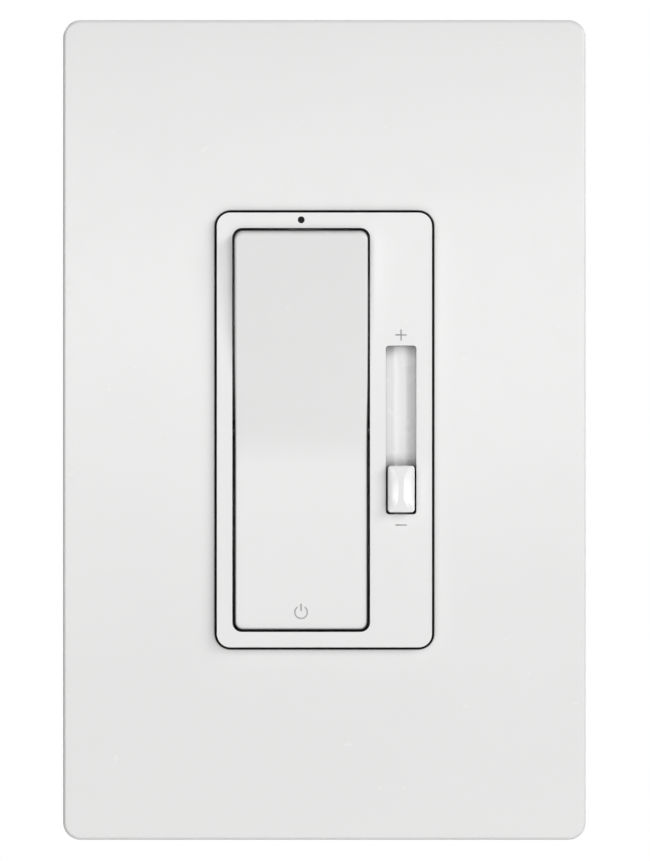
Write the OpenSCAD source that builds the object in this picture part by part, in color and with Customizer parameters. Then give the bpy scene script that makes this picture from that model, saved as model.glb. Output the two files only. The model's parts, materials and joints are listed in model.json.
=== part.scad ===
// Slide dimmer with a preset rocker switch: a one-gang device with a decorator-size face, a screwless
// wall plate, switch contacts, a slide potentiometer and a triac board in a rear housing.
// X is to the right, Z is up and the front faces -Y. The wall surface is y = 0.

/* [Wall plate] */
// Width of the wall plate
plate_w = 79.8; // [79:0.1:84]
// Height of the wall plate
plate_h = 125.2; // [124:0.1:130]
// Corner radius of the wall plate
plate_r = 2.65; // [1.5:0.05:5]
// How far the middle of the plate stands off the wall
plate_depth = 7; // [6.8:0.1:7.6]
// How far its top and bottom edges fall back from the middle
plate_crown = 1.2; // [0.6:0.1:1.4]
// Wall thickness of the plate
plate_t = 1.9; // [1.5:0.1:2]

/* [Face] */
// Width of the bezel
bezel_w = 32.8; // [32.4:0.1:33]
// Height of the bezel
bezel_h = 66.3; // [66:0.1:66.5]
// Corner radius of the bezel
bezel_r = 2.05; // [1.5:0.05:2.5]
// How far the bezel stands off the wall
bezel_depth = 8; // [7.8:0.1:8.4]
// Gap between the bezel and the wall plate's window
window_gap = 0.27; // [0.2:0.01:0.4]

/* [Rocker] */
// Centre of the rocker and of the switch, left of the middle
rocker_x = -3.54; // [-3.8:0.02:-3.4]
// Width of the rocker
rocker_w = 20.26; // [20:0.02:20.4]
// Radius of its two end faces, about its pivot
rocker_r = 30.62; // [30.4:0.02:30.7]
// Full rocking angle, which is also the angle between its two faces
rock_angle = 6; // [5:0.5:6]
// Width of its opening
well_w = 21; // [20.9:0.1:21.2]
// Height of its opening
well_h = 61.6; // [61.6:0.1:62]

/* [Slider] */
// Centre of the slider, right of the middle
slider_x = 11.7; // [11.6:0.05:11.8]
// Full travel of the knob
slider_travel = 18; // [16:0.5:18]
// Width of the knob
knob_w = 4.09; // [3.9:0.01:4.2]
// Height of the knob
knob_h = 7.1; // [6:0.1:7.1]
// How far the knob's crest stands off the wall
knob_depth = 9.6; // [9:0.1:10.4]
// Width of the knob's slot
slot_w = 4.65; // [4.5:0.05:4.8]

/* [Body] */
// Width of the rear housing
housing_w = 41.5; // [41.5:0.1:42.5]
// Height of the rear housing
housing_h = 69; // [69:0.1:70]
// Depth of the rear housing behind the wall surface
housing_depth = 31; // [31:0.5:34]
// Thickness of the mounting strap
strap_t = 1.5; // [1.3:0.1:1.5]
// Distance between the two box screws
box_spacing = 83.34; // [83.2:0.02:83.5]
// Distance between the two wall plate screws
plate_screw_spacing = 96.84; // [96.6:0.02:97]
// Radius of the box screws' thread
screw_r = 1.75; // [1.7:0.01:1.8]

/* [Hidden] */

$fn = 64;
corner_steps = 12;
crown_steps = 24;

// Layers from front to back
channel_front = -bezel_depth + 1.6;
sub_plate_t = 1.8;
sub_plate_front = -strap_t - sub_plate_t;
board_front = 8;
board_t = 1.6;
board_back = board_front + board_t;
solder_back = board_back + 0.25;
strip_front = 6.9;
strip_t = 0.8;
strip_back = strip_front + strip_t;

// Window, slot and channel
window_w = bezel_w + 2 * window_gap;
window_h = bezel_h + 2 * window_gap;
window_r = bezel_r + window_gap;
slot_h = slider_travel + knob_h + 0.64;
channel_w = 6.8;
channel_h = 63.2;
shield_w = 6.2;
shield_h = 44;
knob_z = -slider_travel / 2;

// Rocker: its pivot, and its pose at rest, with the lower face parallel to the bezel
pivot_y = -4.5;
face_offset = 3;
rest_tilt = rock_angle / 2;
trunnion_r = 1.5;
trunnion_reach = rocker_w / 2 + 1.27;
rocker_wall = 1.3;
rocker_face_t = 1.6;
bend_half = 4;

// Contact arm: its pivot and its pose at rest, with the upper contact closed
arm_y = 4.4;
arm_tilt = 5;
arm_half = 11;
arm_contact_z = 9.5;
arm_pin_r = 0.6;

// Fasteners
neck_r = 1.55;
washer_front = -strap_t - 0.7;
housing_screw_x = 18.6;
housing_screw_z = 31.2;
leg_x = 12.2;
leg_z = 32.1;
pipe_z = 32.05;
rivet_x = 3.4;
rivet_z = -25.5;

// Terminals: [side, height] of each pocket
terminals = [[-1, 12], [-1, -12], [1, 0]];
pocket_inner = 13.9;
pocket_half = 5;
pocket_front = 11;
pocket_back = 22;
terminal_x = 16.1;
terminal_screw_y = 16.5;
wire_hole_x = 17.4;
wire_hole_z = 3;
wire_hole_r = 1.3;

// Parts on the back of the board
choke_x = 4.5;
choke_z = -19.5;

// --- Shapes used by many parts ---

function corner_arc(x, z, r, from) = [
    for (i = [0:corner_steps])
        let (a = from + 90 * i / corner_steps) [x + r * cos(a), z + r * sin(a)]
];

function round_rect(w, h, r) = concat(
    corner_arc(w / 2 - r, h / 2 - r, r, 0),
    corner_arc(r - w / 2, h / 2 - r, r, 90),
    corner_arc(r - w / 2, r - h / 2, r, 180),
    corner_arc(w / 2 - r, r - h / 2, r, 270)
);

// A block with rounded corners as seen from the front, from depth y0 to y1
module face_block(w, h, r, y0, y1, x = 0, z = 0)
    translate([x, y1, z])
    rotate([90, 0, 0])
    linear_extrude(y1 - y0)
    polygon(round_rect(w, h, r));

// A square block, centred in X and Z, from depth y0 to y1
module slab(w, h, y0, y1, x = 0, z = 0)
    translate([x - w / 2, y0, z - h / 2])
    cube([w, y1 - y0, h]);

// A round bar along Y
module rod(r, y0, y1, x = 0, z = 0)
    translate([x, y1, z])
    rotate([90, 0, 0])
    cylinder(r = r, h = y1 - y0);

// A round bar along X
module axle(r, x0, x1, y = 0, z = 0)
    translate([x0, y, z])
    rotate([0, 90, 0])
    cylinder(r = r, h = x1 - x0);

// An outline in the side view, as [y, z] points, made solid from x0 to x1
module side_profile(points, x0, x1)
    translate([x0, 0, 0])
    rotate([90, 0, 90])
    linear_extrude(x1 - x0)
    polygon(points);

// --- Wall plate and its fixing ---

// Depth of the crowned front at height z, for a shell moved back by inset
function crown_y(z, inset) =
    inset - plate_depth + plate_crown * pow(2 * z / plate_h, 2);

function crown_outline(half, inset, back) = concat(
    [[back, -half]],
    [for (i = [0:crown_steps]) let (z = half * (2 * i / crown_steps - 1)) [crown_y(z, inset), z]],
    [[back, half]]
);

module plate_shell(inset, back)
    intersection() {
        side_profile(crown_outline(plate_h / 2 - inset, inset, back), -plate_w, plate_w);
        face_block(plate_w - 2 * inset, plate_h - 2 * inset, plate_r - inset * 0.6, -20, back);
    }

module wall_plate() {
    catch_x = plate_w / 2 - plate_t - 0.7;
    color("white") {
        difference() {
            plate_shell(0, 0);
            plate_shell(plate_t, 1);
            face_block(window_w, window_h, window_r, -20, 1);
        }
        for (side = [-1, 1], z = [-38, 38])
            slab(1.8, 8, -1.3, -0.4, side * catch_x, z);
    }
}

module sub_plate()
    color("white")
    difference() {
        face_block(73.2, 118.4, 2, sub_plate_front, -strap_t);
        face_block(34.6, 68.2, 2, -20, 1);
        for (side = [-1, 1]) {
            rod(5, -20, 1, 0, side * box_spacing / 2);
            rod(1.9, -20, 1, 0, side * plate_screw_spacing / 2);
            rod(3.1, -20, -2.5, 0, side * plate_screw_spacing / 2);
        }
    }

// A pan-head screw along +Y whose head seats at depth seat
module screw(r, length, head_r, head_h, seat, x, z)
    difference() {
        union() {
            rod(r, seat, seat + length, x, z);
            rod(head_r, seat - head_h, seat, x, z);
        }
        slab(2 * head_r + 1, 0.8, seat - head_h - 1, seat - head_h * 0.45, x, z);
    }

module plate_screws()
    color("white")
    for (side = [-1, 1])
        screw(1.65, 9, 2.9, 1.4, -2.5, 0, side * plate_screw_spacing / 2);

// --- Mounting strap ---

module strap() {
    tab_x = -15.9;
    color("silver")
    difference() {
        union() {
            face_block(44, 71, 1.5, -strap_t, 0);
            face_block(33, 106, 3, -strap_t, 0);
            slab(1.2, 9, -strap_t, 9, tab_x, -42);
        }
        for (side = [-1, 1]) {
            face_block(8, 4.8, 2.3, -5, 5, 0, side * box_spacing / 2);
            rod(1.75, -5, 5, 0, side * plate_screw_spacing / 2);
            for (end = [-1, 1]) {
                rod(1.25, -5, 5, side * housing_screw_x, end * housing_screw_z);
                translate([side * housing_screw_x, -strap_t - 0.01, end * housing_screw_z])
                    rotate([-90, 0, 0])
                    cylinder(r1 = 2.25, r2 = 1.25, h = 1);
                slab(3.5, 1.25, -5, 5, side * leg_x, end * leg_z);
            }
        }
        slab(9, 10, -5, 5, rocker_x, 0);
        face_block(3.2, slider_travel + 4.8, 1, -5, 5, slider_x, 0);
        rod(0.8, -5, 5, rocker_x, pipe_z);
        rod(1.65, -5, 5, rivet_x, rivet_z);
        axle(1.75, tab_x - 3, tab_x + 3, 4.5, -42);
    }
}

// The box screws have a plain neck under the head, where their captive washers grip them
module box_screws()
    color("silver")
    for (side = [-1, 1]) {
        screw(neck_r, -washer_front - 0.05, 3.6, 1.7, washer_front, 0, side * box_spacing / 2);
        rod(screw_r, -0.05, washer_front + 25.4, 0, side * box_spacing / 2);
    }

module screw_washers()
    color("tan")
    for (side = [-1, 1])
        difference() {
            rod(4.6, washer_front, -strap_t, 0, side * box_spacing / 2);
            rod(neck_r + 0.02, -5, 5, 0, side * box_spacing / 2);
        }

module ground_screw()
    color("green")
    difference() {
        union() {
            axle(1.7, -16.5, -9, 4.5, -42);
            translate([-18.7, 4.5, -42])
                rotate([0, 90, 0])
                cylinder(r = 3.9, h = 2.2, $fn = 6);
        }
        translate([-20, 4.1, -47])
            cube([2.2, 0.8, 10]);
    }

// --- Bezel ---

module bezel() {
    right_ledge = slider_x + channel_w / 2 - 0.5;
    left_ledge = slider_x - channel_w / 2 + 0.5;
    color("white") {
        difference() {
            face_block(bezel_w, bezel_h, bezel_r, -bezel_depth, -strap_t);
            face_block(well_w, well_h, 1.45, -20, 1, rocker_x, 0);
            face_block(slot_w, slot_h, 0.5, -20, 1, slider_x, 0);
            slab(channel_w, channel_h, channel_front, 1, slider_x, 0);
            axle(trunnion_r + 0.07, rocker_x - trunnion_reach - 0.2, rocker_x + 12, pivot_y, 0);
            rod(0.52, -20, 1, rocker_x, pipe_z);
        }
        for (x = [left_ledge, right_ledge])
            slab(1, channel_h, -4.4, -3.6, x, 0);
        for (side = [-1, 1], end = [-1, 1]) {
            slab(3, 1, -strap_t, 0.8, side * leg_x, end * leg_z);
            slab(3, 0.6, 0.05, 0.8, side * leg_x, end * (leg_z - 0.75));
        }
    }
}

module light_pipe()
    color("dimgray")
    rod(0.475, -bezel_depth + 0.1, board_front - 1, rocker_x, pipe_z);

// --- Rocker, drawn level and then tilted to its pose at rest ---

module at_pivot(y, tilt)
    translate([rocker_x, y, 0])
    rotate([tilt, 0, 0])
    children();

// Depth of the rocker's face at height z, with a soft bend at the middle
function rocker_y(z) =
    let (slope = tan(rock_angle / 2), far = abs(z))
    -face_offset / cos(rock_angle / 2)
    - slope * (far > bend_half ? far : (far * far / bend_half + bend_half) / 2);

function rocker_outline(half, inset, back) = concat(
    [[back, -half]],
    [for (i = [-2:2]) let (z = i * half / 2) if (abs(z) > bend_half && z < 0) [rocker_y(z) + inset, z]],
    [for (i = [-4:4]) let (z = i * bend_half / 4) [rocker_y(z) + inset, z]],
    [for (i = [-2:2]) let (z = i * half / 2) if (abs(z) > bend_half && z > 0) [rocker_y(z) + inset, z]],
    [[back, half]]
);

// A wheel about the pivot with rounded rims, which gives the rocker its end faces and corners
module rocker_wheel() {
    rim = 1.2;
    outline = concat(
        [[0, -rocker_w / 2], [0, rocker_w / 2]],
        [for (i = [corner_steps:-1:0]) let (a = 90 * i / corner_steps)
            [rocker_r - rim + rim * cos(a), rocker_w / 2 - rim + rim * sin(a)]],
        [for (i = [0:corner_steps]) let (a = 90 * i / corner_steps)
            [rocker_r - rim + rim * cos(a), rim - rocker_w / 2 - rim * sin(a)]]
    );
    rotate([0, 90, 0])
        rotate_extrude($fn = 120)
        polygon(outline);
}

module rocker_paddle() {
    inner = rocker_w / 2 - rocker_wall;
    color("white")
    at_pivot(pivot_y, rest_tilt)
    difference() {
        union() {
            difference() {
                intersection() {
                    side_profile(rocker_outline(40, 0, -0.2), -20, 20);
                    rocker_wheel();
                }
                side_profile(rocker_outline(rocker_r - rocker_face_t, rocker_face_t, 5), -inner, inner);
            }
            for (side = [-1, 1])
                slab(rocker_wall, 9, -1.2, 2.2, side * (rocker_w - rocker_wall) / 2, 0);
            axle(trunnion_r, -trunnion_reach, 0.5 - inner);
            axle(trunnion_r, inner - 0.5, trunnion_reach);
            rod(2.5, -2.4, 5);
            for (z = [-15, 15])
                slab(2 * inner + 0.4, 1, -3, -0.4, 0, z);
        }
        rod(1.55, -1.2, 6);
    }
}

module plunger()
    color("ivory")
    at_pivot(pivot_y, rest_tilt) {
        rod(1.48, 2.6, 6.9);
        rod(1, 6.9, 7.5);
        translate([0, 7.15, 0])
            sphere(r = 1);
    }

module plunger_spring()
    color("silver")
    at_pivot(pivot_y, rest_tilt)
    difference() {
        rod(1.4, -1.1, 2.55);
        rod(0.9, -2, 3);
    }

// --- Switch contacts behind the strap ---

module switch_base()
    color("darkslategray") {
        difference() {
            slab(12.4, 28.4, 0.4, 6.8, rocker_x, 0);
            slab(8.8, 25.2, 1.4, 8, rocker_x, 0);
            slab(7, 9, 0, 2, rocker_x, 0);
        }
        for (z = [-13.4, 13.4])
            rod(0.7, 6.8, solder_back, rocker_x + 5.3, z);
    }

module contact_arm()
    color("goldenrod")
    at_pivot(arm_y, -arm_tilt) {
        slab(5.2, 2 * arm_half, -0.35, 0.35);
        axle(arm_pin_r, -3.8, 3.8);
    }

module arm_contacts()
    color("gainsboro")
    at_pivot(arm_y, -arm_tilt)
    for (z = [-arm_contact_z, arm_contact_z])
        rod(1.5, 0.35, 0.95, 0, z);

// Each fixed contact faces the arm's contact squarely when that side is closed
module fixed_contacts()
    color("gainsboro")
    for (side = [-1, 1])
        difference() {
            at_pivot(arm_y, -side * arm_tilt)
                rod(1.6, 1, 2, 0, side * arm_contact_z);
            slab(8, 8, strip_front, 12, rocker_x, side * arm_contact_z);
        }

module common_bracket()
    color("goldenrod")
    difference() {
        union() {
            slab(7.2, 6, 6.1, strip_front, rocker_x, 0);
            for (side = [-1, 1])
                slab(0.7, 4.4, 3.4, 6.5, rocker_x + side * 3.25, 0);
        }
        axle(arm_pin_r + 0.05, rocker_x - 5, rocker_x + 5, arm_y, 0);
    }

// A terminal: a strip from the contacts, bent back through the board into its pocket
module terminal(side, z, start_x, width) {
    reach = side * (terminal_x + strip_t / 2);
    difference() {
        union() {
            slab(abs(reach - start_x), width, strip_front, strip_back, (reach + start_x) / 2, z);
            slab(strip_t, width, strip_front, pocket_back - 0.6, side * terminal_x, z);
        }
        axle(1.75, side * terminal_x - 2, side * terminal_x + 2, terminal_screw_y, z);
    }
}

module common_terminal()
    color("goldenrod")
    terminal(1, 0, rocker_x - 3.6, 7);

module upper_traveler_terminal()
    color("goldenrod")
    terminal(-1, 12, rocker_x + 2.8, 8);

module lower_traveler_terminal()
    color("goldenrod")
    terminal(-1, -12, rocker_x + 2.8, 8);

module terminal_screws()
    color("darkgoldenrod")
    for (t = terminals)
        translate([0, terminal_screw_y, t[1]])
        rotate([0, 0, t[0] > 0 ? 180 : 0])
        difference() {
            union() {
                axle(1.7, -19.4, -14.4);
                axle(3.2, -20.5, -19.3);
            }
            translate([-21, -4, -0.4])
                cube([1.1, 8, 0.8]);
        }

module clamp_plates()
    color("silver")
    for (t = terminals)
        difference() {
            slab(1, 8.4, 12.2, 20.8, t[0] * 18.8, t[1]);
            axle(1.8, t[0] * 18.8 - 2, t[0] * 18.8 + 2, terminal_screw_y, t[1]);
        }

// --- Slider and its potentiometer ---

// The knob's crest is wide at its ends and narrow at its waist, between two scooped flanks
module slider_knob() {
    crest = -knob_depth;
    shoulder = -bezel_depth - 0.2;
    scoop_r = 6;
    color("white")
    translate([slider_x, 0, knob_z])
    difference() {
        union() {
            difference() {
                face_block(knob_w, knob_h, 0.5, crest, -6.1);
                for (side = [-1, 1])
                    translate([side * (scoop_r * 0.91 + knob_w * 0.21), 0, 0])
                    rod(scoop_r - 1, crest - 1, shoulder);
            }
            slab(2.5, 3.3, -6.2, -3.2);
        }
        slab(1.3, 2.7, -5.6, -3);
    }
}

module slide_shield() {
    dip = 0.9;
    floor_r = (pow(slot_w / 2, 2) + dip * dip) / (2 * dip);
    front = channel_front + 0.15;
    color("white")
    difference() {
        slab(shield_w, shield_h, front, front + 1.65, slider_x, knob_z);
        translate([slider_x, front + dip - floor_r, knob_z - shield_h])
            cylinder(r = floor_r, h = 2 * shield_h);
        slab(2.6, 3.4, -10, 0, slider_x, knob_z);
    }
}

module pot_carriage()
    color("dimgray") {
        slab(5.2, 7, 1.7, 4.6, slider_x, knob_z);
        slab(1.2, 2.6, -5.5, 1.7, slider_x, knob_z);
    }

module pot_wiper()
    color("goldenrod") {
        slab(4, 5.6, 4.6, 4.85, slider_x, knob_z);
        for (side = [-1, 1])
            slab(0.8, 0.8, 4.85, 5.75, slider_x + side * 1.3, knob_z + 2);
    }

module pot_body()
    color("gray")
    difference() {
        slab(7, 32, 1, 6.5, slider_x, 0);
        slab(6, 31, 1.5, 8, slider_x, 0);
        slab(1.9, slider_travel + 5, 0, 2, slider_x, 0);
    }

module pot_track()
    color("saddlebrown") {
        slab(5.9, 30.8, 5.8, 6.4, slider_x, 0);
        for (z = [-14, -11.5, 14])
            rod(0.4, 6.4, solder_back, slider_x, z);
    }

// --- Circuit board and what it carries ---

module main_board()
    color("darkgreen")
    difference() {
        slab(37.8, 65.4, board_front, board_back);
        for (side = [-1, 1], end = [-1, 1])
            rod(2.9, 5, 12, side * housing_screw_x, end * housing_screw_z);
        for (t = terminals)
            slab(1.1, t[0] > 0 ? 7.4 : 8.4, 5, 12, t[0] * terminal_x, t[1]);
        for (z = [-14, -11.5, 14])
            rod(0.5, 5, 12, slider_x, z);
        for (z = [-13.4, 13.4])
            rod(0.75, 5, 12, rocker_x + 5.3, z);
        for (i = [-1:1])
            rod(0.6, 5, 12, -11, rivet_z + i * 2.54);
    }

module triac()
    color("black") {
        difference() {
            slab(15.2, 10.2, 0.5, 1.8, -1.4, rivet_z);
            rod(1.8, 0, 3, rivet_x, rivet_z);
        }
        slab(9.2, 10.2, 1.8, 5, -4.4, rivet_z);
        for (i = [-1:1]) {
            slab(2.3, 0.7, 2.4, 3, -10.15, rivet_z + i * 2.54);
            slab(0.6, 0.7, 3, solder_back, -11, rivet_z + i * 2.54);
        }
    }

module triac_rivet()
    color("silver") {
        rod(2.8, -2.3, -strap_t, rivet_x, rivet_z);
        rod(1.6, -strap_t, 1.8, rivet_x, rivet_z);
        rod(2.8, 1.8, 2.6, rivet_x, rivet_z);
    }

module thermal_pad()
    color("lightblue")
    difference() {
        slab(16, 11, 0, 0.5, -1.4, rivet_z);
        rod(1.7, -1, 1, rivet_x, rivet_z);
    }

module ring(outer, inner, y0, y1)
    difference() {
        rod(outer, y0, y1);
        rod(inner, y0 - 1, y1 + 1);
    }

module choke_core()
    color("dimgray")
    translate([choke_x, 0, choke_z])
    ring(9.1, 5.4, 10.8, 18.2);

// Copper wire wound round the core, as one shell open at one side
module choke_winding()
    color("peru")
    translate([choke_x, 0, choke_z])
    difference() {
        ring(10, 4.5, 9.9, 19.1);
        ring(9.15, 5.35, 10.75, 18.25);
        slab(5, 12, 8, 20, 0, 8);
    }

module film_capacitor()
    color("goldenrod")
    face_block(18, 8, 1, board_back, 23, 3, 23);

module timing_capacitor()
    color("firebrick")
    face_block(10, 5, 0.8, board_back, 18, 0, 5);

module supply_capacitor()
    color("midnightblue")
    rod(4, board_back + 0.35, 21, -12, -25);

module resistors()
    color("burlywood")
    for (at = [[-5, 11], [-5, 14.5], [6.6, 14.5]]) {
        axle(1.15, at[0] - 3.1, at[0] + 3.1, board_back + 1.2, at[1]);
        for (side = [-1, 1])
            slab(0.6, 0.6, board_back, board_back + 1.5, at[0] + side * 3.4, at[1]);
    }

module diac()
    color("orangered")
    axle(0.9, 7, 10.6, board_back + 0.9, 10);

module controller_chip()
    color("black") {
        slab(5, 4, board_back + 0.15, board_back + 1.6, -5, -3);
        for (side = [-1, 1], i = [-1.5:1.5])
            slab(0.5, 1.1, board_back, board_back + 0.7, -5 + i * 1.27, side * 2.5 - 3);
    }

module indicator_led()
    color("white")
    slab(1.6, 1, board_front - 0.8, board_front, rocker_x, pipe_z);

// --- Rear housing ---

module rear_housing() {
    wall = 1.6;
    color("darkslategray")
    difference() {
        union() {
            difference() {
                face_block(housing_w, housing_h, 2, 0, housing_depth);
                face_block(housing_w - 2 * wall, housing_h - 2 * wall, 1, -1, housing_depth - wall);
            }
            intersection() {
                face_block(housing_w, housing_h, 2, 0, housing_depth);
                for (side = [-1, 1], end = [-1, 1])
                    rod(2.5, 0, housing_depth, side * housing_screw_x, end * housing_screw_z);
            }
            for (side = [-1, 1], end = [-1, 1])
                slab(2.6, 4, board_back + 0.1, housing_depth - 1, side * 18.1, end * 24);
            for (t = terminals)
                slab(8, 2 * pocket_half + 2.4, board_back + 0.2, housing_depth, t[0] * 16.7, t[1]);
        }
        for (side = [-1, 1], end = [-1, 1])
            rod(0.95, -1, 14, side * housing_screw_x, end * housing_screw_z);
        for (t = terminals) {
            slab(8, 2 * pocket_half, pocket_front, pocket_back, t[0] * (pocket_inner + 4), t[1]);
            slab(1.1, t[0] > 0 ? 7.4 : 8.4, 9, pocket_front + 1, t[0] * terminal_x, t[1]);
            rod(wire_hole_r, pocket_back - 1, housing_depth + 1, t[0] * wire_hole_x, t[1] + wire_hole_z);
        }
    }
}

module housing_screws()
    color("silver")
    for (side = [-1, 1], end = [-1, 1])
        translate([side * housing_screw_x, -strap_t, end * housing_screw_z])
        rotate([-90, 0, 0]) {
            cylinder(r1 = 2.15, r2 = 1.15, h = 0.95);
            cylinder(r = 0.9, h = 12);
        }

wall_plate();
sub_plate();
plate_screws();
bezel();
light_pipe();
strap();
box_screws();
screw_washers();
ground_screw();
rear_housing();
housing_screws();
rocker_paddle();
plunger();
plunger_spring();
switch_base();
contact_arm();
arm_contacts();
fixed_contacts();
common_bracket();
common_terminal();
upper_traveler_terminal();
lower_traveler_terminal();
terminal_screws();
clamp_plates();
slider_knob();
slide_shield();
pot_carriage();
pot_wiper();
pot_body();
pot_track();
main_board();
triac();
triac_rivet();
thermal_pad();
choke_core();
choke_winding();
film_capacitor();
timing_capacitor();
supply_capacitor();
resistors();
diac();
controller_chip();
indicator_led();
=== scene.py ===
"""Slide dimmer with a preset rocker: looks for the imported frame.

The front pieces, the screws, the spring and the winding are rebuilt as smooth meshes that take their
places from the frame. The frame's other nodes keep their shape and get rounded edges and materials.
X is right, Z is up and the front faces -Y.
"""
import json
import math

import bmesh
import bpy
from mathutils import Matrix, Vector

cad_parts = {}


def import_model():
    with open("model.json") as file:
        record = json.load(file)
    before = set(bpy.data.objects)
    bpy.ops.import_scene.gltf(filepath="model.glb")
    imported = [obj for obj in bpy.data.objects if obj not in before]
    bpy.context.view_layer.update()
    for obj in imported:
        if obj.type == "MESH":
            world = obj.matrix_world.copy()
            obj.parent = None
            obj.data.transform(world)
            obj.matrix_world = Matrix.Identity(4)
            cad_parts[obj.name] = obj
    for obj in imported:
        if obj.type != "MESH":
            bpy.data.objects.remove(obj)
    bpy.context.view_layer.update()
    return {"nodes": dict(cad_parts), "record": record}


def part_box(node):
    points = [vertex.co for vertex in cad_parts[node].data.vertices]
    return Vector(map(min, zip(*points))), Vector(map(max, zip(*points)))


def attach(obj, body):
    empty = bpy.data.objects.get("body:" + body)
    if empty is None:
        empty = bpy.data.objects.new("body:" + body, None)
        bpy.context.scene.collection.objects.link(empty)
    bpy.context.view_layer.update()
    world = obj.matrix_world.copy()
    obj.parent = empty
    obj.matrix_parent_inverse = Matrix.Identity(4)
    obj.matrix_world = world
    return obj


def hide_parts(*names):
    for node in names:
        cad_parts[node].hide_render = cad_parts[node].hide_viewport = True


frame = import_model()

MM = 0.001
MICRON = 0.000001

# --- Rounded outlines and lofts -------------------------------------------------------------------

CORNER_STEPS = 12
SIDE_STEPS = 72
TOP_STEPS = 36


def outline(half_w, half_h, radius):
    """Points (x, z) round a rounded rectangle: up the right side, along the top, down, and back."""
    flat, rise = half_w - radius, half_h - radius
    right = []
    for i in range(CORNER_STEPS + 1):
        a = math.radians(-90 + 90 * i / CORNER_STEPS)
        right.append((flat + radius * math.cos(a), radius * math.sin(a) - rise))
    for i in range(1, SIDE_STEPS):
        right.append((half_w, rise * (2 * i / SIDE_STEPS - 1)))
    for i in range(CORNER_STEPS + 1):
        a = math.radians(90 * i / CORNER_STEPS)
        right.append((flat + radius * math.cos(a), rise + radius * math.sin(a)))
    top = [(flat * (1 - 2 * i / TOP_STEPS), half_h) for i in range(1, TOP_STEPS)]
    left = [(-x, z) for x, z in reversed(right)]
    bottom = [(-flat * (1 - 2 * i / TOP_STEPS), -half_h) for i in range(1, TOP_STEPS)]
    return right + top + left + bottom


# Points on an outline's right side, and so on its left.
ROWS = 2 * (CORNER_STEPS + 1) + SIDE_STEPS - 1


def between(a, b, share):
    """The outline that lies a share of the way from one outline to another."""
    keep = 1 - share
    return [(p[0] * keep + q[0] * share, p[1] * keep + q[1] * share) for p, q in zip(a, b)]


def add_loop(bm, points, depth):
    """One ring of vertices. depth is a number, or a function of x and z."""
    return [bm.verts.new((x, depth(x, z) if callable(depth) else depth, z)) for x, z in points]


def bridge(bm, a, b):
    """A closed band of quads between two rings."""
    for i in range(len(a)):
        j = (i + 1) % len(a)
        bm.faces.new((a[i], a[j], b[j], b[i]))


def cap(bm, ring, depth):
    """Fills an outline's ring with rows of quads that follow depth(x, z)."""
    right, rest = ring[:ROWS], ring[ROWS:]
    top, rest = rest[: TOP_STEPS - 1], rest[TOP_STEPS - 1:]
    left, bottom = rest[:ROWS][::-1], rest[ROWS:]
    rows = []
    for i in range(ROWS):
        if i == 0:
            middle = bottom
        elif i == ROWS - 1:
            middle = top[::-1]
        else:
            x0, x1, z = left[i].co.x, right[i].co.x, right[i].co.z
            xs = [x0 + (x1 - x0) * k / TOP_STEPS for k in range(1, TOP_STEPS)]
            middle = [bm.verts.new((x, depth(x, z), z)) for x in xs]
        rows.append([left[i], *middle, right[i]])
    for low, high in zip(rows, rows[1:]):
        for k in range(TOP_STEPS):
            bm.faces.new((low[k], low[k + 1], high[k + 1], high[k]))


def quarter(steps):
    """Angles of a quarter round, from flush with the face to square with the wall."""
    return [math.radians(90 * i / steps) for i in range(steps + 1)]


def finish_mesh(name, bm, material, body, replaces=(), matrix=None):
    """Makes the finished piece, puts it on its body and hides the nodes that it stands for."""
    bmesh.ops.remove_doubles(bm, verts=bm.verts, dist=1e-7)
    bmesh.ops.recalc_face_normals(bm, faces=bm.faces)
    for face in bm.faces:
        face.smooth = True
    mesh = bpy.data.meshes.new(name)
    if matrix is not None:
        bm.transform(matrix)
    bm.to_mesh(mesh)
    bm.free()
    piece = bpy.data.objects.new(name, mesh)
    bpy.context.scene.collection.objects.link(piece)
    mesh.materials.append(material)
    normals = piece.modifiers.new("Weighted Normals", "WEIGHTED_NORMAL")
    normals.weight = 80
    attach(piece, body)
    if replaces:
        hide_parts(*replaces)
    return piece


def box_centre(node):
    low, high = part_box(node)
    return (Vector(low) + Vector(high)) / 2


def box_size(node):
    low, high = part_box(node)
    return Vector(high) - Vector(low)


# --- Materials ------------------------------------------------------------------------------------


def new_material(name):
    material = bpy.data.materials.new(name)
    material.use_nodes = True
    nodes = material.node_tree.nodes
    return material, nodes, material.node_tree.links, nodes["Principled BSDF"]


def noise(nodes, links, scale, detail, stretch=(1, 1, 1)):
    """Noise over the piece's own coordinates. Its scale is per millimetre."""
    place = nodes.new("ShaderNodeTexCoord")
    mapping = nodes.new("ShaderNodeMapping")
    mapping.inputs["Scale"].default_value = [1000 * s for s in stretch]
    texture = nodes.new("ShaderNodeTexNoise")
    texture.inputs["Scale"].default_value = scale
    texture.inputs["Detail"].default_value = detail
    links.new(place.outputs["Object"], mapping.inputs["Vector"])
    links.new(mapping.outputs["Vector"], texture.inputs["Vector"])
    return texture


def remap(nodes, links, value, limits, targets):
    """Carries a value over from one pair of limits to another."""
    span = nodes.new("ShaderNodeMapRange")
    span.inputs["From Min"].default_value, span.inputs["From Max"].default_value = limits
    span.inputs["To Min"].default_value, span.inputs["To Max"].default_value = targets
    links.new(value, span.inputs["Value"])
    return span


def vary_colour(nodes, links, shader, texture, colour, spread):
    ramp = nodes.new("ShaderNodeValToRGB")
    for element, gain in zip(ramp.color_ramp.elements, (1 - spread, 1 + spread)):
        element.color = [min(1, c * gain) for c in colour[:3]] + [1]
    ramp.color_ramp.elements[0].position = 0.3
    ramp.color_ramp.elements[1].position = 0.7
    links.new(texture.outputs["Fac"], ramp.inputs["Fac"])
    links.new(ramp.outputs["Color"], shader.inputs["Base Color"])


def vary_roughness(nodes, links, shader, texture, low, high):
    span = remap(nodes, links, texture.outputs["Fac"], (0, 1), (low, high))
    links.new(span.outputs["Result"], shader.inputs["Roughness"])


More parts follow.
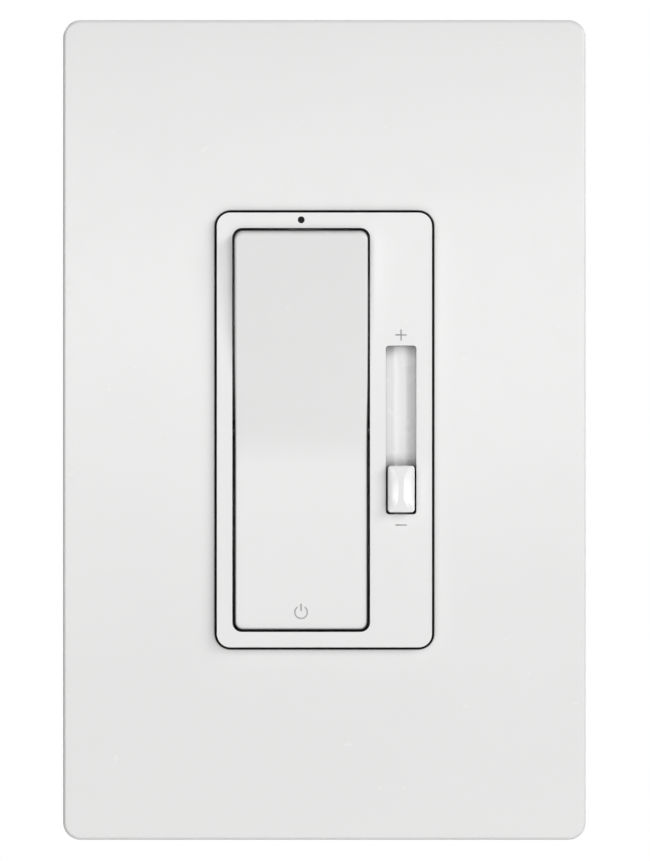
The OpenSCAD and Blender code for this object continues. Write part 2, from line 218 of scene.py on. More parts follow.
# Painted shade in gaps: ambient occlusion samples, the openness at which it is darkest, and the share
# of the colour left there.
CREVICE_SAMPLES = 12
CREVICE_DEEP = 0.12
PAINTED_SHADE_DARKEST = 0.03


def paint_gap_shade(nodes, links, shader, reach, open_from):
    """Painted shade: darkens the colour deep inside narrow gaps, by how enclosed each point is, and
    leaves it as it is on open faces.
    """
    source = shader.inputs["Base Color"].links[0].from_socket
    openness = nodes.new("ShaderNodeAmbientOcclusion")
    openness.samples = CREVICE_SAMPLES
    openness.inputs["Distance"].default_value = reach
    limits, targets = (CREVICE_DEEP, open_from), (PAINTED_SHADE_DARKEST, 1)
    span = remap(nodes, links, openness.outputs["AO"], limits, targets)
    span.interpolation_type = "SMOOTHSTEP"
    mix = nodes.new("ShaderNodeMix")
    mix.data_type = "RGBA"
    mix.blend_type = "MULTIPLY"
    mix.inputs["Factor"].default_value = 1.0
    links.new(source, mix.inputs["A"])
    links.new(span.outputs["Result"], mix.inputs["B"])
    links.new(mix.outputs["Result"], shader.inputs["Base Color"])


def bump(nodes, links, shader, texture, depth):
    height = nodes.new("ShaderNodeBump")
    height.inputs["Distance"].default_value = depth
    height.inputs["Strength"].default_value = 1.0
    links.new(texture.outputs["Fac"], height.inputs["Height"])
    links.new(height.outputs["Normal"], shader.inputs["Normal"])


def plastic(name, colour, roughness, texture_depth, texture_scale=4.0, spread=0.006):
    """Moulded plastic: faint colour drift, uneven sheen and a fine mould texture."""
    material, nodes, links, shader = new_material(name)
    drift = noise(nodes, links, 0.05, 2)
    vary_colour(nodes, links, shader, drift, colour, spread)
    sheen = noise(nodes, links, 0.4, 3)
    vary_roughness(nodes, links, shader, sheen, roughness - 0.03, roughness + 0.03)
    grain = noise(nodes, links, texture_scale, 3)
    bump(nodes, links, shader, grain, texture_depth)
    shader.inputs["IOR"].default_value = 1.49
    return material


# How squarely a face looks ahead, as its normal's Y: flat crest up to the first, scoop from the second.
# The crest gets painted shade.
CREST_SQUARE = (-0.998, -0.988)
FLANK_COAT = 0.9
FLANK_COAT_ROUGHNESS = 0.25


def paint_crest_shade(material, colour, roughness):
    """Painted shade: greyer and duller where the surface faces straight ahead on the flat crest, with a
    coat on the scoops.
    """
    nodes, links = material.node_tree.nodes, material.node_tree.links
    shader = nodes["Principled BSDF"]
    place = nodes.new("ShaderNodeTexCoord")
    parts = nodes.new("ShaderNodeSeparateXYZ")
    span = remap(nodes, links, parts.outputs["Y"], CREST_SQUARE, (0, 1))
    mix = nodes.new("ShaderNodeMix")
    mix.data_type = "RGBA"
    mix.inputs["A"].default_value = (*colour, 1)
    gloss = nodes.new("ShaderNodeMix")
    gloss.inputs["A"].default_value = roughness
    coat = nodes.new("ShaderNodeMath")
    coat.operation = "MULTIPLY"
    coat.inputs[1].default_value = FLANK_COAT
    links.new(place.outputs["Normal"], parts.inputs["Vector"])
    for target in (mix, gloss):
        links.new(span.outputs["Result"], target.inputs["Factor"])
    links.new(shader.inputs["Base Color"].links[0].from_socket, mix.inputs["B"])
    links.new(shader.inputs["Roughness"].links[0].from_socket, gloss.inputs["B"])
    links.new(mix.outputs["Result"], shader.inputs["Base Color"])
    links.new(gloss.outputs["Result"], shader.inputs["Roughness"])
    links.new(span.outputs["Result"], coat.inputs[0])
    links.new(coat.outputs["Value"], shader.inputs["Coat Weight"])
    shader.inputs["Coat Roughness"].default_value = FLANK_COAT_ROUGHNESS


def metal(name, colour, roughness, stretch=(1, 1, 1), depth=4 * MICRON, spread=0.04):
    """Bare or plated metal with drawing or stamping marks along one direction."""
    material, nodes, links, shader = new_material(name)
    shader.inputs["Metallic"].default_value = 1.0
    marks = noise(nodes, links, 2.5, 4, stretch)
    vary_colour(nodes, links, shader, marks, colour, spread)
    vary_roughness(nodes, links, shader, marks, roughness - 0.08, roughness + 0.1)
    bump(nodes, links, shader, marks, depth)
    return material


def coating(name, colour, roughness, depth=6 * MICRON, coat=0.0, spread=0.03):
    """Paint, sleeve or resin: coloured, with an orange-peel surface and an optional clear coat."""
    material, nodes, links, shader = new_material(name)
    peel = noise(nodes, links, 1.2, 2)
    vary_colour(nodes, links, shader, peel, colour, spread)
    vary_roughness(nodes, links, shader, peel, roughness - 0.05, roughness + 0.05)
    bump(nodes, links, shader, peel, depth)
    shader.inputs["Coat Weight"].default_value = coat
    shader.inputs["Coat Roughness"].default_value = 0.1
    return material


def fibre(name, colour):
    """Pressed fibre: matte, flecked."""
    material, nodes, links, shader = new_material(name)
    flecks = noise(nodes, links, 3, 6)
    vary_colour(nodes, links, shader, flecks, colour, 0.16)
    vary_roughness(nodes, links, shader, flecks, 0.75, 0.95)
    bump(nodes, links, shader, flecks, 30 * MICRON)
    return material


# The knob's scoops are whiter than its plastic as a painted highlight; its crest is greyer as painted
# shade.
KNOB_PAINTED_HIGHLIGHT = (0.98, 0.98, 0.98)
CREST_PAINTED_SHADE = (0.9, 0.9, 0.9)
PRINT_GREY = (0.5, 0.5, 0.505)
FACE_GRAIN = 0.4 * MICRON
KNOB_GRAIN = 0.2 * MICRON

# How far the painted shade in gaps looks for a facing wall, and the openness from which a face is
# unshaded.
NARROW_GAPS = (1.9 * MM, 0.95)
WIDE_GAPS = (10 * MM, 0.5)
PAINTED_SHADE_GAPS = {"knob_ridge": (1.0 * MM, 0.5), "trough": (2.3 * MM, 1.0)}


def make_materials():
    """One material for each slot of the record, and two more for the knob and its trough."""
    made = {}
    base = {m["slot"]: m["base_color"] for m in frame["record"]["materials"]}

    def add(kind, slot, *values, **named):
        made[slot] = kind(slot, base[slot], *values, **named)

    add(plastic, "plate_plastic", 0.26, FACE_GRAIN)
    add(plastic, "face_plastic", 0.26, FACE_GRAIN)
    add(plastic, "knob_plastic", 0.36, KNOB_GRAIN)
    # The knob: painted highlight on its scoops and painted shade on its crest.
    made["knob_ridge"] = plastic("knob_ridge", KNOB_PAINTED_HIGHLIGHT, 0.2, KNOB_GRAIN)
    paint_crest_shade(made["knob_ridge"], CREST_PAINTED_SHADE, 0.4)
    made["trough"] = plastic("trough", base["knob_plastic"], 0.27, KNOB_GRAIN)
    add(plastic, "housing_plastic", 0.55, 12 * MICRON, texture_scale=2.5, spread=0.1)
    for slot in ("nylon", "phenolic", "carriage_plastic", "epoxy_black"):
        add(plastic, slot, 0.45, 4 * MICRON, texture_scale=3.0, spread=0.05)
    add(coating, "track_laminate", 0.5, spread=0.1)
    add(coating, "dark_lens", 0.7, 1 * MICRON)
    lens = made["dark_lens"].node_tree.nodes["Principled BSDF"]
    lens.inputs["Specular IOR Level"].default_value = 0.1
    add(coating, "led_lens", 0.15, 1 * MICRON)
    add(metal, "strap_aluminium", 0.38, stretch=(4, 4, 0.12))
    add(metal, "zinc_steel", 0.32)
    add(metal, "spring_steel", 0.3)
    add(metal, "brass", 0.3, stretch=(0.3, 3, 3))
    add(metal, "contact_silver", 0.25)
    add(metal, "copper", 0.24, depth=2 * MICRON, spread=0.08)
    add(coating, "white_steel", 0.35)
    add(coating, "green_steel", 0.3, coat=0.4)
    add(coating, "core_paint", 0.4)
    add(coating, "board_green", 0.35, coat=0.5, spread=0.1)
    add(coating, "thermal_rubber", 0.7)
    for slot in ("capacitor_yellow", "capacitor_red", "capacitor_sleeve"):
        add(coating, slot, 0.3, coat=0.3)
    add(coating, "resistor_tan", 0.5)
    add(coating, "diac_glass", 0.1, 0.5 * MICRON, coat=1.0)
    add(fibre, "fibre")
    # Every material but the print gets painted shade deep in narrow gaps.
    for slot, material in made.items():
        nodes, links = material.node_tree.nodes, material.node_tree.links
        usual = NARROW_GAPS if slot.endswith("plastic") else WIDE_GAPS
        reach, open_from = PAINTED_SHADE_GAPS.get(slot, usual)
        paint_gap_shade(nodes, links, nodes["Principled BSDF"], reach, open_from)
    made["print"] = coating("print", PRINT_GREY, 0.5, 1 * MICRON)
    return made


materials = make_materials()

# --- Frame nodes that keep their shape ------------------------------------------------------------


SOFT_EDGES = {"bezel": 0.4 * MM, "rear_housing": 0.5 * MM, "sub_plate": 0.3 * MM, "strap": 0.15 * MM}
USUAL_EDGE = 0.08 * MM
WELD_DISTANCE = 0.002 * MM
FLAT_ANGLE = math.radians(0.05)
SHARP_ANGLE = math.radians(40)


def dress_nodes():
    """Gives every frame node its slot's material and edges rounded as moulding or stamping does."""
    for entry in frame["record"]["subparts"]:
        name, slot = entry["node"], entry["material_slot"]
        node = frame["nodes"][name]
        node.data.materials.clear()
        node.data.materials.append(materials[slot])
        weld = node.modifiers.new("Weld", "WELD")
        weld.merge_threshold = WELD_DISTANCE
        merge = node.modifiers.new("Merge Flats", "DECIMATE")
        merge.decimate_type = "DISSOLVE"
        merge.angle_limit = FLAT_ANGLE
        edge = node.modifiers.new("Round Edges", "BEVEL")
        edge.width = SOFT_EDGES.get(name, USUAL_EDGE)
        edge.segments = 3
        edge.limit_method = "ANGLE"
        edge.angle_limit = SHARP_ANGLE
        normals = node.modifiers.new("Weighted Normals", "WEIGHTED_NORMAL")
        normals.weight = 80


dress_nodes()

# --- Wall plate -----------------------------------------------------------------------------------

PLATE_CORNER = 2.65 * MM
PLATE_WALL = 1.9 * MM
PLATE_CROWN = 1.2 * MM
PLATE_EDGE = 0.5 * MM
WINDOW_GAP = 0.27 * MM
WINDOW_CORNER = 2.05 * MM
WINDOW_EDGE = 0.22 * MM


def wall_plate():
    """A crowned shell: up the rim, across the face to the window, through it and back inside."""
    size, face = box_size("wall_plate"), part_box("wall_plate")[0][1]
    half_w, half_h = size.x / 2, size.z / 2
    window = box_size("bezel")
    win_w, win_h = window.x / 2 + WINDOW_GAP, window.z / 2 + WINDOW_GAP
    win_r = WINDOW_CORNER + WINDOW_GAP

    def front(x, z):
        return face + PLATE_CROWN * (z / half_h) ** 2

    def face_at(drop):
        return lambda x, z: front(x, z) + drop

    bm = bmesh.new()
    rim, opening = outline(half_w, half_h, PLATE_CORNER), outline(win_w, win_h, win_r)
    loops = [add_loop(bm, rim, 0.0)]
    for share in (0.35, 0.7):
        loops.append(add_loop(bm, rim, lambda x, z: (front(x, z) + PLATE_EDGE) * share))
    for a in reversed(quarter(6)):
        inset = PLATE_EDGE * (1 - math.sin(a))
        points = outline(half_w - inset, half_h - inset, PLATE_CORNER - inset)
        loops.append(add_loop(bm, points, face_at(PLATE_EDGE * (1 - math.cos(a)))))
    outer = outline(half_w - PLATE_EDGE, half_h - PLATE_EDGE, PLATE_CORNER - PLATE_EDGE)
    inner = outline(win_w + WINDOW_EDGE, win_h + WINDOW_EDGE, win_r + WINDOW_EDGE)
    face_steps, back_steps = 13, 6
    for k in range(1, face_steps):
        loops.append(add_loop(bm, between(outer, inner, k / face_steps), front))
    for a in quarter(4):
        inset = WINDOW_EDGE * (1 - math.sin(a))
        points = outline(win_w + inset, win_h + inset, win_r + inset)
        loops.append(add_loop(bm, points, face_at(WINDOW_EDGE * (1 - math.cos(a)))))
    loops.append(add_loop(bm, opening, face_at(PLATE_WALL)))
    inside = outline(half_w - PLATE_WALL, half_h - PLATE_WALL, PLATE_CORNER - 0.6 * PLATE_WALL)
    for k in range(1, back_steps + 1):
        loops.append(add_loop(bm, between(opening, inside, k / back_steps), face_at(PLATE_WALL)))
    loops.append(add_loop(bm, inside, 0.0))
    for a, b in zip(loops, loops[1:] + loops[:1]):
        bridge(bm, a, b)
    finish_mesh("wall_plate_shell", bm, materials["plate_plastic"], "chassis",
                ["wall_plate"])


wall_plate()

# --- Rocker ---------------------------------------------------------------------------------------

PIVOT_Y = -4.5 * MM
FACE_OFFSET = 3.0 * MM
HALF_ROCK = math.radians(3)
END_RADIUS = 30.62 * MM
BEND_HALF = 5.0 * MM
ROCKER_CORNER = 1.2 * MM
ROCKER_EDGE = 0.38 * MM
ROCKER_REAR = -0.2 * MM
ROCKER_WALL = 1.3 * MM
ROCKER_FACE = 1.6 * MM
TRUNNION_RADIUS = 1.5 * MM
TRUNNION_LENGTH = 1.27 * MM
TRUNNION_ROOT = 1 * MM
BOSS_RADIUS = 2.5 * MM
BOSS_BORE = 1.55 * MM
BOSS_SPAN = (-2.4 * MM, 5.0 * MM)


def rocker_face(z):
    """Depth of the face in front of the pivot at height z: two planes joined by a soft bend."""
    far = abs(z)
    rise = far if far > BEND_HALF else (far * far / BEND_HALF + BEND_HALF) / 2
    return -FACE_OFFSET / math.cos(HALF_ROCK) - math.tan(HALF_ROCK) * rise


def end_reach(y):
    """Half the rocker's height at depth y, on its end faces about the pivot."""
    return math.sqrt(END_RADIUS ** 2 - y ** 2)


def tube(bm, radius, start, end, axis, sides=40, inner=0.0):
    """A round bar or tube from start to end along an axis vector through the origin."""
    turn = Vector((0, 0, 1)).rotation_difference(Vector(axis)).to_matrix()
    rings = []
    for r, h in ((inner, start), (radius, start), (radius, end), (inner, end)):
        ring = []
        for i in range(sides):
            a = 2 * math.pi * i / sides
            ring.append(bm.verts.new(turn @ Vector((r * math.cos(a), r * math.sin(a), h))))
        rings.append(ring)
    pairs = [(0, 1), (1, 2), (2, 3)] + ([(3, 0)] if inner else [])
    for a, b in pairs:
        bridge(bm, rings[a], rings[b])


def rocker():
    """The hollow two-plane paddle, with a trunnion on each side and a bored boss for the plunger."""
    half_w = (box_size("rocker_paddle").x / 2) - TRUNNION_LENGTH
    centre = box_centre("rocker_paddle")
    pose = Matrix.Translation((centre.x, PIVOT_Y, 0)) @ Matrix.Rotation(HALF_ROCK, 4, "X")
    bm = bmesh.new()

    def ring(inset, depth):
        """An outline at a depth that may depend on z; its ends lie on the end faces' radius."""
        reach = end_reach(depth(0, END_RADIUS))
        points = outline(half_w - inset, reach - inset, ROCKER_CORNER - inset)
        return add_loop(bm, points, depth)

    def sunk(drop):
        return lambda x, z: rocker_face(min(abs(z), END_RADIUS)) + drop

    def toward_rear(share):
        start = sunk(ROCKER_EDGE)
        return lambda x, z: start(x, z) * (1 - share) + ROCKER_REAR * share

    loops = []
    for a in quarter(6):
        loops.append(ring(ROCKER_EDGE * (1 - math.sin(a)), sunk(ROCKER_EDGE * (1 - math.cos(a)))))
    for share in (0.2, 0.4, 0.6, 0.8, 1.0):
        loops.append(ring(0.0, toward_rear(share)))
    hollow = outline(half_w - ROCKER_WALL, END_RADIUS - ROCKER_FACE, ROCKER_CORNER)
    loops.append(add_loop(bm, hollow, ROCKER_REAR))
    loops.append(add_loop(bm, hollow, sunk(ROCKER_FACE)))
    for a, b in zip(loops, loops[1:]):
        bridge(bm, a, b)
    cap(bm, loops[0], sunk(0.0))
    cap(bm, loops[-1], sunk(ROCKER_FACE))
    for side in (-1, 1):
        root, end = side * (half_w - TRUNNION_ROOT), side * (half_w + TRUNNION_LENGTH)
        tube(bm, TRUNNION_RADIUS, root, end, (1, 0, 0))
    tube(bm, BOSS_RADIUS, *BOSS_SPAN, (0, 1, 0), inner=BOSS_BORE)
    finish_mesh("rocker_cover", bm, materials["face_plastic"], "rocker",
                ["rocker_paddle"], pose)


rocker()

# --- Slider ---------------------------------------------------------------------------------------

KNOB_CORNER = 0.5 * MM
KNOB_EDGE = 0.22 * MM
KNOB_FOOT = -6.1 * MM
WAIST_HALF = 0.36 * MM
CREST_END_HALF = 1.35 * MM
CREST_FLARE = 1.06
SCOOP_START = 0.3 * MM
SCOOP_FALL = 0.16 * MM


def knob():
    """A small knob with a flat crest between two scoops, narrow at its waist and wide at its ends."""
    (low, high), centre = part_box("slider_knob"), box_centre("slider_knob")
    half_w, half_h = (high[0] - low[0]) / 2, (high[2] - low[2]) / 2
    crest = low[1]

    def crest_half(z):
        toward_end = min(1, abs(z) / half_h * CREST_FLARE)
        return WAIST_HALF + (CREST_END_HALF - WAIST_HALF) * toward_end ** 3

    def depth(x, z):
        beyond = max(0.0, abs(x) - crest_half(z))
        span = half_w - crest_half(z)
        share = min(1.0, beyond / span)
        scoop = SCOOP_START * share + SCOOP_FALL * share ** 3
        fade = max(0.0, 1 - (abs(z) / half_h) ** 4)
        return crest + scoop * fade * span / (half_w - WAIST_HALF)

    def down_side(share):
        return lambda x, z: (depth(x, z) + KNOB_EDGE) * (1 - share) + KNOB_FOOT * share

    bm = bmesh.new()
    loops = []
    for a in quarter(5):
        inset = KNOB_EDGE * (1 - math.sin(a))
        drop = KNOB_EDGE * (1 - math.cos(a))
        points = outline(half_w - inset, half_h - inset, KNOB_CORNER - inset)
        loops.append(add_loop(bm, points, lambda x, z: depth(x, z) + drop))
    for share in (0.5, 1.0):
        loops.append(add_loop(bm, outline(half_w, half_h, KNOB_CORNER), down_side(share)))
    for a, b in zip(loops, loops[1:]):
        bridge(bm, a, b)
    cap(bm, loops[0], depth)
    cap(bm, loops[-1], lambda x, z: KNOB_FOOT)
    place = Matrix.Translation((centre.x, 0, centre.z))
    finish_mesh("knob_cap", bm, materials["knob_ridge"], "slider",
                ["slider_knob"], place)


knob()

SLOT_HALF = 2.325 * MM
TROUGH_DEPTH = 0.9 * MM
SHIELD_CORNER = 0.3 * MM


def shield():
    """The sliding dust shield, with a trough down its front that shows through the slot."""
    (low, high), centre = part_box("slide_shield"), box_centre("slide_shield")
    half_w, half_h = (high[0] - low[0]) / 2, (high[2] - low[2]) / 2
    radius = (SLOT_HALF ** 2 + TROUGH_DEPTH ** 2) / (2 * TROUGH_DEPTH)

    def front(x, z):
        if abs(x) >= SLOT_HALF:
            return low[1]
        return low[1] + TROUGH_DEPTH - radius + math.sqrt(radius ** 2 - x * x)

    bm = bmesh.new()
    points = outline(half_w, half_h, SHIELD_CORNER)
    loops = [add_loop(bm, points, front), add_loop(bm, points, high[1])]
    bridge(bm, *loops)
    cap(bm, loops[0], front)
    cap(bm, loops[1], lambda x, z: high[1])
    place = Matrix.Translation((centre.x, 0, centre.z))
    finish_mesh("shield_trough", bm, materials["trough"], "slider",
                ["slide_shield"], place)


shield()

# --- Springs and windings -------------------------------------------------------------------------


def sweep(bm, path, radius, sides=8):
    """A round wire along a list of points."""
    rings = []
    up = Vector((0, 0, 1))
    for i, point in enumerate(path):
        ahead = (path[min(i + 1, len(path) - 1)] - path[max(i - 1, 0)]).normalized()
        across = ahead.cross(up)
        if across.length < 0.1:
            across = ahead.cross(Vector((1, 0, 0)))
        across.normalize()
        normal = across.cross(ahead)
        up = normal
        ring = []
        for k in range(sides):
            a = 2 * math.pi * k / sides
            spoke = math.cos(a) * across + math.sin(a) * normal
            ring.append(bm.verts.new(point + radius * spoke))
        rings.append(ring)
    for a, b in zip(rings, rings[1:]):
        bridge(bm, a, b)
    bm.faces.new(rings[0])
    bm.faces.new(rings[-1])


SPRING_WIRE = 0.2 * MM
SPRING_RADIUS = 1.15 * MM
SPRING_TURNS = 6
SPRING_SPAN = (-0.9 * MM, 2.35 * MM)


def plunger_spring():
    """A compression spring round the boss's axis."""
    steps = 20
    start, end = SPRING_SPAN
    path = []
    for i in range(SPRING_TURNS * steps + 1):
        a = 2 * math.pi * i / steps
        y = start + (end - start) * i / (SPRING_TURNS * steps)
        path.append(Vector((SPRING_RADIUS * math.cos(a), y, SPRING_RADIUS * math.sin(a))))
    bm = bmesh.new()
    sweep(bm, path, SPRING_WIRE)
    pose = Matrix.Translation((box_centre("plunger_spring").x, PIVOT_Y, 0))
    pose = pose @ Matrix.Rotation(HALF_ROCK, 4, "X")
    finish_mesh("spring_coil", bm, materials["spring_steel"], "rocker",
                ["plunger_spring"], pose)


plunger_spring()


CORE_BORE = 5.4 * MM
CHOKE_WIRE = 0.36 * MM
CHOKE_TURNS = 34
CHOKE_GAP = math.radians(50)
WIRE_CLEARANCE = 0.04 * MM
TURN_SQUARENESS = 6


def choke_winding():
    """Enamelled wire wound round the ring core, turn by turn, with a gap between its two ends."""
    size, centre = box_size("choke_core"), box_centre("choke_core")
    outer = size.x / 2
    mid, half = (outer + CORE_BORE) / 2, (outer - CORE_BORE) / 2
    lift = CHOKE_WIRE + WIRE_CLEARANCE
    steps = 24
    path = []
    for i in range(CHOKE_TURNS * steps + 1):
        t = i / (CHOKE_TURNS * steps)
        around = math.pi / 2 + CHOKE_GAP / 2 + (2 * math.pi - CHOKE_GAP) * t
        a = 2 * math.pi * i / steps
        spread = abs(math.cos(a)) ** TURN_SQUARENESS + abs(math.sin(a)) ** TURN_SQUARENESS
        square = spread ** (-1 / TURN_SQUARENESS)
        out = mid + (half + lift) * square * math.cos(a)
        y = (size.y / 2 + lift) * square * math.sin(a)
        path.append(centre + Vector((out * math.cos(around), y, out * math.sin(around))))
    bm = bmesh.new()
    sweep(bm, path, CHOKE_WIRE)
    finish_mesh("winding_wire", bm, materials["copper"], "chassis", ["choke_winding"])


choke_winding()

# --- Machine screws -------------------------------------------------------------------------------

THREAD_DEPTH = 0.32 * MM
THREAD_PITCH = 0.79 * MM
THREAD_LAP = 0.2 * MM
TIP_CHAMFER = 0.5 * MM
SLOT_WIDTH = 0.8 * MM


def turned(bm, profile, place, sides=48):
    """A solid turned about Y. The profile gives (y, radius) or (y, function of the angle)."""
    rings = []
    for y, radius in profile:
        ring = []
        for i in range(sides):
            a = 2 * math.pi * i / sides
            r = radius(a) if callable(radius) else radius
            ring.append(bm.verts.new(place + Vector((r * math.cos(a), y, r * math.sin(a)))))
        rings.append(ring)
    for a, b in zip(rings, rings[1:]):
        bridge(bm, a, b)
    bm.faces.new(rings[0])
    bm.faces.new(rings[-1])


def thread_profile(radius, start, end, steps=12):
    """Rings along a threaded shank, faded in at its start and chamfered at its tip."""
    rings = []
    count = round((end - start) / THREAD_PITCH * steps)
    for i in range(count + 1):
        y = start + (end - start) * i / count
        fade = min(1, (y - start) / THREAD_PITCH)
        tip = max(0.0, 1 - (end - y) / (0.6 * THREAD_PITCH)) * TIP_CHAMFER

        def reach(a, y=y, fade=fade, tip=tip):
            turn = (y / THREAD_PITCH + a / (2 * math.pi)) % 1
            valley = 1 - min(1, abs(2 * turn - 1) * 1.25)
            return radius - THREAD_DEPTH * fade * valley - tip

        rings.append((y, reach))
    return rings


def slotted(bm, low, high):
    """Cuts a box-shaped slot out of a closed mesh."""
    solid, cutter = bpy.data.meshes.new("solid"), bpy.data.meshes.new("cutter")
    bmesh.ops.recalc_face_normals(bm, faces=bm.faces)
    bm.to_mesh(solid)
    box = bmesh.new()
    place = Matrix.Translation((low + high) / 2) @ Matrix.Diagonal((*(high - low), 1))
    bmesh.ops.create_cube(box, size=1, matrix=place)
    box.to_mesh(cutter)
    box.free()
    things = [bpy.data.objects.new(mesh.name, mesh) for mesh in (solid, cutter)]
    for thing in things:
        bpy.context.scene.collection.objects.link(thing)
    cut = things[0].modifiers.new("Slot", "BOOLEAN")
    cut.object, cut.operation, cut.solver = things[1], "DIFFERENCE", "EXACT"
    graph = bpy.context.evaluated_depsgraph_get()
    result = bpy.data.meshes.new_from_object(things[0].evaluated_get(graph))
    bm.clear()
    bm.from_mesh(result)
    for thing in things:
        bpy.data.objects.remove(thing)
    for mesh in (solid, cutter, result):
        bpy.data.meshes.remove(mesh)


def screw_pair(node, head_radius, head_height, neck_radius, thread_radius, thread_start, slot):
    """Two oval-head machine screws, one above the other, with slotted heads and rolled threads."""
    low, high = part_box(node)
    seat = low[1] + head_height
    spacing = (high[2] - low[2]) / 2 - head_radius
    whole = bmesh.new()
    for side in (-1, 1):
        place = Vector((box_centre(node).x, 0, box_centre(node).z + side * spacing))
        bm = bmesh.new()
        head = [(low[1], head_radius * 0.3)]
        for a in quarter(12)[1:]:
            head.append((seat - head_height * math.cos(a), head_radius * math.sin(a) ** 0.4))
        turned(bm, [*head, (seat, neck_radius), (thread_start, neck_radius)], place)
        reach = head_radius + 0.5 * MM
        near = Vector((-reach, low[1] - MM, -SLOT_WIDTH / 2))
        far = Vector((reach, low[1] + head_height * 0.55, SLOT_WIDTH / 2))
        slotted(bm, place + near, place + far)
        turned(bm, thread_profile(thread_radius, thread_start - THREAD_LAP, high[1]), place)
        mesh = bpy.data.meshes.new("screw")
        bm.to_mesh(mesh)
        bm.free()
        whole.from_mesh(mesh)
        bpy.data.meshes.remove(mesh)
    finish_mesh(node + "_threaded", whole, materials[slot], "chassis", [node])


screw_pair("box_screws", head_radius=3.6 * MM, head_height=1.7 * MM, neck_radius=1.55 * MM,
           thread_radius=1.75 * MM, thread_start=-0.05 * MM, slot="zinc_steel")
screw_pair("plate_screws", head_radius=2.9 * MM, head_height=1.4 * MM, neck_radius=1.45 * MM,
           thread_radius=1.65 * MM, thread_start=-2.0 * MM, slot="white_steel")

# --- Printed marks --------------------------------------------------------------------------------

PRINT_DEPTH = 0.02 * MM
BAR_CORNERS = ((-1, -1), (1, -1), (1, 1), (-1, 1))


def printed(name, bars, arcs, place, body):
    """A thin print on a face: bars of (width, height, x, z) and arcs of (radius, width, from, to)."""
    bm = bmesh.new()
    for width, height, x, z in bars:
        corners = [(x + sx * width / 2, z + sz * height / 2) for sx, sz in BAR_CORNERS]
        base, top = add_loop(bm, corners, 0.0), add_loop(bm, corners, -PRINT_DEPTH)
        bm.faces.new(base[::-1])
        bm.faces.new(top)
        bridge(bm, base, top)
    steps = 48
    for radius, width, first, last in arcs:
        rings = []
        for i in range(steps + 1):
            a = math.radians(first + (last - first) * i / steps)
            ring = []
            for side, y in ((-1, 0), (1, 0), (1, -PRINT_DEPTH), (-1, -PRINT_DEPTH)):
                reach = radius + side * width / 2
                ring.append(bm.verts.new((reach * math.sin(a), y, reach * math.cos(a))))
            rings.append(ring)
        for a, b in zip(rings, rings[1:]):
            bridge(bm, a, b)
        bm.faces.new(rings[0])
        bm.faces.new(rings[-1])
    finish_mesh(name, bm, materials["print"], body, (), place)


def marks():
    """Plus and minus at the ends of the slider's travel, and a generic power mark on the rocker."""
    knob_x, face = box_centre("slider_knob").x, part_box("bezel")[0][1]
    reach, stroke, height = 1.7 * MM, 0.19 * MM, 14.5 * MM
    plus = Matrix.Translation((knob_x, face, height))
    minus = Matrix.Translation((knob_x, face, -height))
    printed("plus_mark", [(reach, stroke, 0, 0), (stroke, reach, 0, 0)], [], plus, "chassis")
    printed("minus_mark", [(reach, stroke, 0, 0)], [], minus, "chassis")
    lower_end = (box_centre("rocker_paddle").x, PIVOT_Y - FACE_OFFSET, -27.8 * MM)
    bar = (0.2 * MM, 1.1 * MM, 0, 0.75 * MM)
    ring = (0.95 * MM, 0.2 * MM, 35, 325)
    printed("power_mark", [bar], [ring], Matrix.Translation(lower_end), "rocker")


marks()

# --- Camera, floor and light ----------------------------------------------------------------------

VIEW_HEIGHT = 131.3 * MM
CAMERA_DISTANCE = 1.5
FLOOR_HEIGHT = -0.5
FLOOR_RADIUS = 1.6
FLOOR_GREY = (0.7, 0.7, 0.7)
WORLD_LIGHT = 0.07


def aim(thing, target):
    """Turns a camera or light to look at a point."""
    thing.rotation_mode = "QUATERNION"
    thing.rotation_quaternion = (Vector(target) - thing.location).to_track_quat("-Z", "Y")


def camera():
    """Square to the front, at the height that the photographed view spans."""
    data = bpy.data.cameras.new("camera")
    data.sensor_width = 36
    data.lens = data.sensor_width * CAMERA_DISTANCE / VIEW_HEIGHT
    data.clip_start, data.clip_end = 0.1, 20
    thing = bpy.data.objects.new("camera", data)
    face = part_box("bezel")[0][1]
    thing.location = (0.09 * MM, face - CAMERA_DISTANCE, -0.08 * MM)
    thing.rotation_euler = (math.radians(90), 0, 0)
    bpy.context.scene.collection.objects.link(thing)
    bpy.context.scene.camera = thing


def area_light(name, place, size, radiance, target=(0, 0, 0), tall=None):
    """A soft box. Its power is set from the brightness of its surface."""
    data = bpy.data.lights.new(name, "AREA")
    data.shape = "RECTANGLE"
    data.size, data.size_y = size, tall or size
    data.energy = radiance * data.size * data.size_y * math.pi
    thing = bpy.data.objects.new(name, data)
    thing.location = place
    aim(thing, target)
    thing.visible_camera = False
    bpy.context.scene.collection.objects.link(thing)


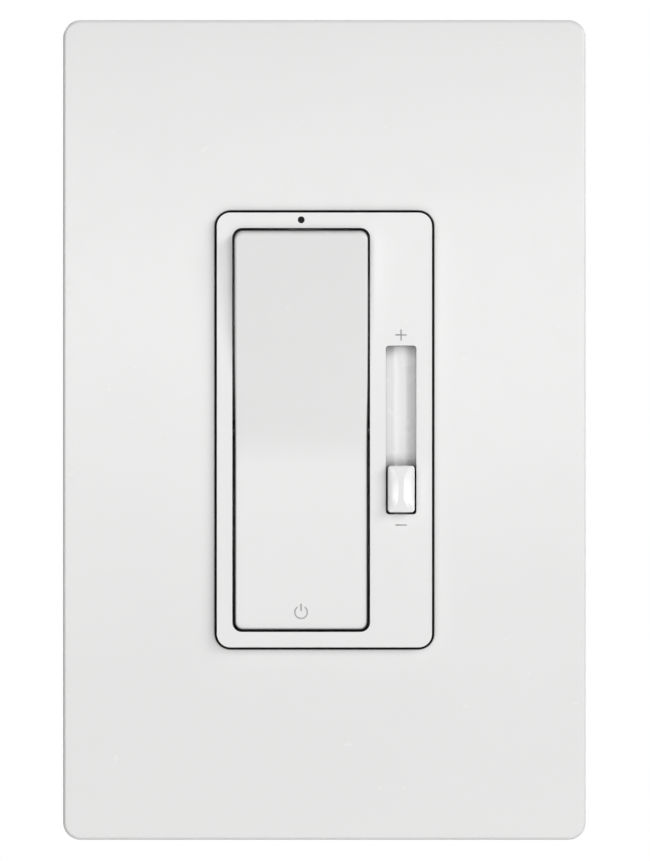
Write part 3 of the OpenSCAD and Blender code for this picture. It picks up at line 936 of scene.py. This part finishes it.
def floor():
    """A pale floor, below the view from the front."""
    bm = bmesh.new()
    bmesh.ops.create_circle(bm, cap_ends=True, segments=96, radius=FLOOR_RADIUS)
    mesh = bpy.data.meshes.new("floor")
    bm.to_mesh(mesh)
    bm.free()
    thing = bpy.data.objects.new("floor", mesh)
    thing.location = (0, 0, FLOOR_HEIGHT)
    material, nodes, links, shader = new_material("floor")
    vary_colour(nodes, links, shader, noise(nodes, links, 0.01, 2), FLOOR_GREY, 0.01)
    shader.inputs["Roughness"].default_value = 0.9
    mesh.materials.append(material)
    bpy.context.scene.collection.objects.link(thing)


def world():
    """White behind the object, and dimmer as a light, so that the soft boxes shape it."""
    made = bpy.data.worlds.new("world")
    bpy.context.scene.world = made
    made.use_nodes = True
    nodes, links = made.node_tree.nodes, made.node_tree.links
    light = nodes["Background"]
    light.inputs["Color"].default_value = (1, 1, 1, 1)
    light.inputs["Strength"].default_value = WORLD_LIGHT
    seen = nodes.new("ShaderNodeBackground")
    seen.inputs["Color"].default_value = (1, 1, 1, 1)
    seen.inputs["Strength"].default_value = 1.0
    path = nodes.new("ShaderNodeLightPath")
    mix = nodes.new("ShaderNodeMixShader")
    links.new(path.outputs["Is Camera Ray"], mix.inputs["Fac"])
    links.new(light.outputs["Background"], mix.inputs[1])
    links.new(seen.outputs["Background"], mix.inputs[2])
    links.new(mix.outputs["Shader"], nodes["World Output"].inputs["Surface"])


camera()
floor()
world()
area_light("key", (1.5, -1.1, 0.8), size=0.8, radiance=6.5)
area_light("front", (0, -2.2, 0.1), size=2.6, radiance=15.3, tall=0.14)
area_light("accent", (1.15, -1.9, 0.3), size=0.28, radiance=9, tall=0.6)
area_light("low", (0, -1.0, -0.218), size=1.2, radiance=5.8, tall=0.055)
area_light("top", (0, 0.2, 1.6), size=0.8, radiance=2.2)
area_light("rear key", (-1.3, 1.6, 0.9), size=0.9, radiance=6)
area_light("rear fill", (1.5, 1.3, 0.3), size=0.9, radiance=3)
bpy.context.scene.view_settings.view_transform = "Standard"
